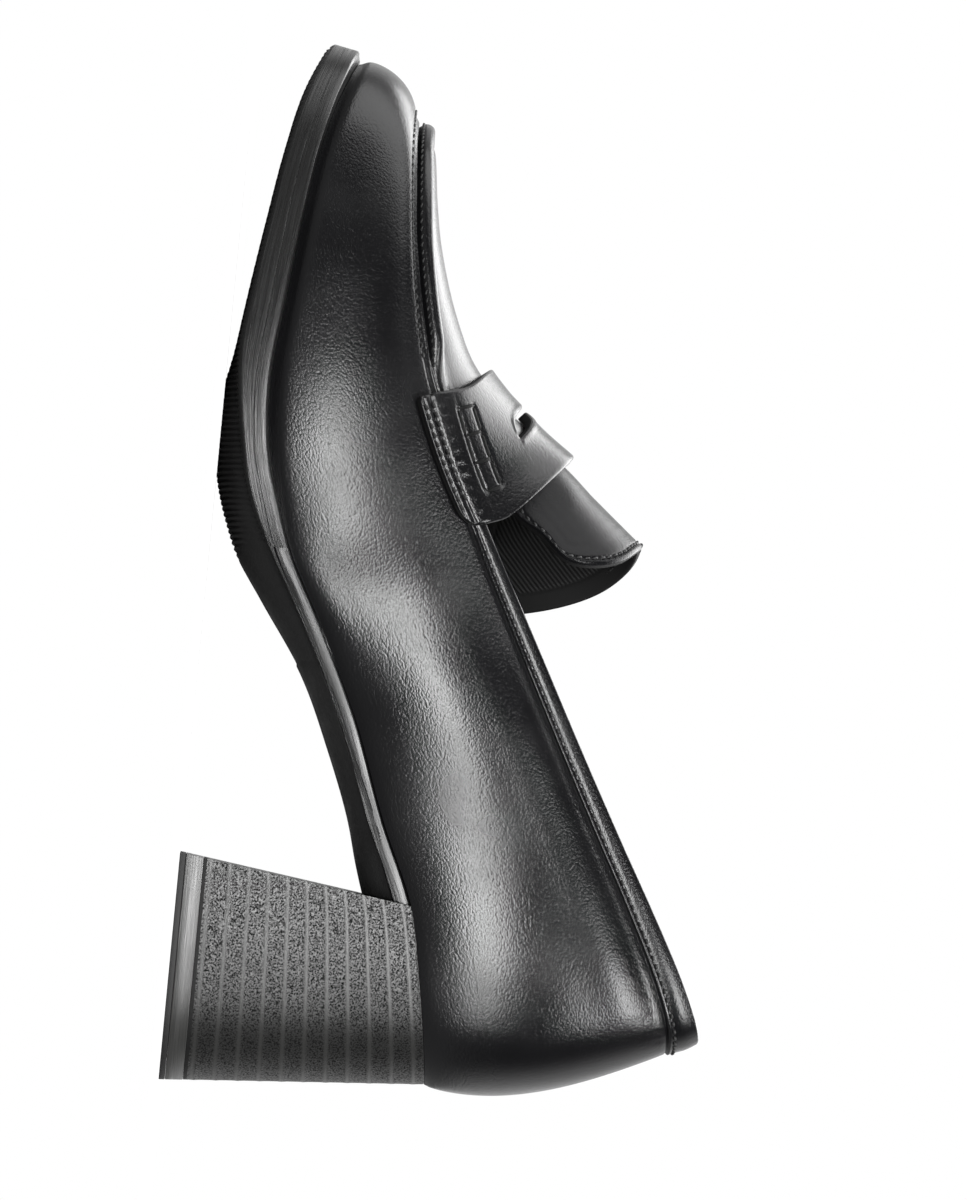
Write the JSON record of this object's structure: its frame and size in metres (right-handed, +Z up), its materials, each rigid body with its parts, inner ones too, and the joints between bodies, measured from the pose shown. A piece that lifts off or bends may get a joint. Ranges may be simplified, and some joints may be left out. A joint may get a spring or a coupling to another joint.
{
  "type": "heeled shoe",
  "caption": "Left block-heeled loafer in black leather with a raised apron toe, a slit saddle strap, a standing tongue, a stacked heel and a slim layered sole.",
  "frame": {"origin": "middle of the shoe's box, on the floor", "axes": "+Z up, the toe points along -Y and the heel along +Y, +X is the outer (lateral) side of the left foot"},
  "size_m": [0.0876, 0.2472, 0.1254],
  "materials": {
    "upper_leather": "smooth black leather, semi-gloss",
    "sock_leather": "soft black leather, satin",
    "sole_edge": "brushed black edge, satin",
    "heel_stack": "ridged dark grey stack, matt",
    "heel_slab": "smooth dark grey, satin",
    "top_lift_rubber": "black rubber, matt"
  },
  "bodies": {
    "root": {"upper": "upper_leather", "saddle_strap": "upper_leather", "tongue": "upper_leather", "insole": "sock_leather", "welt": "sole_edge", "outsole": "sole_edge", "heel_block": "heel_stack", "heel_slab": "heel_slab", "heel_top_lift": "top_lift_rubber"}
  },
  "joints": []
}
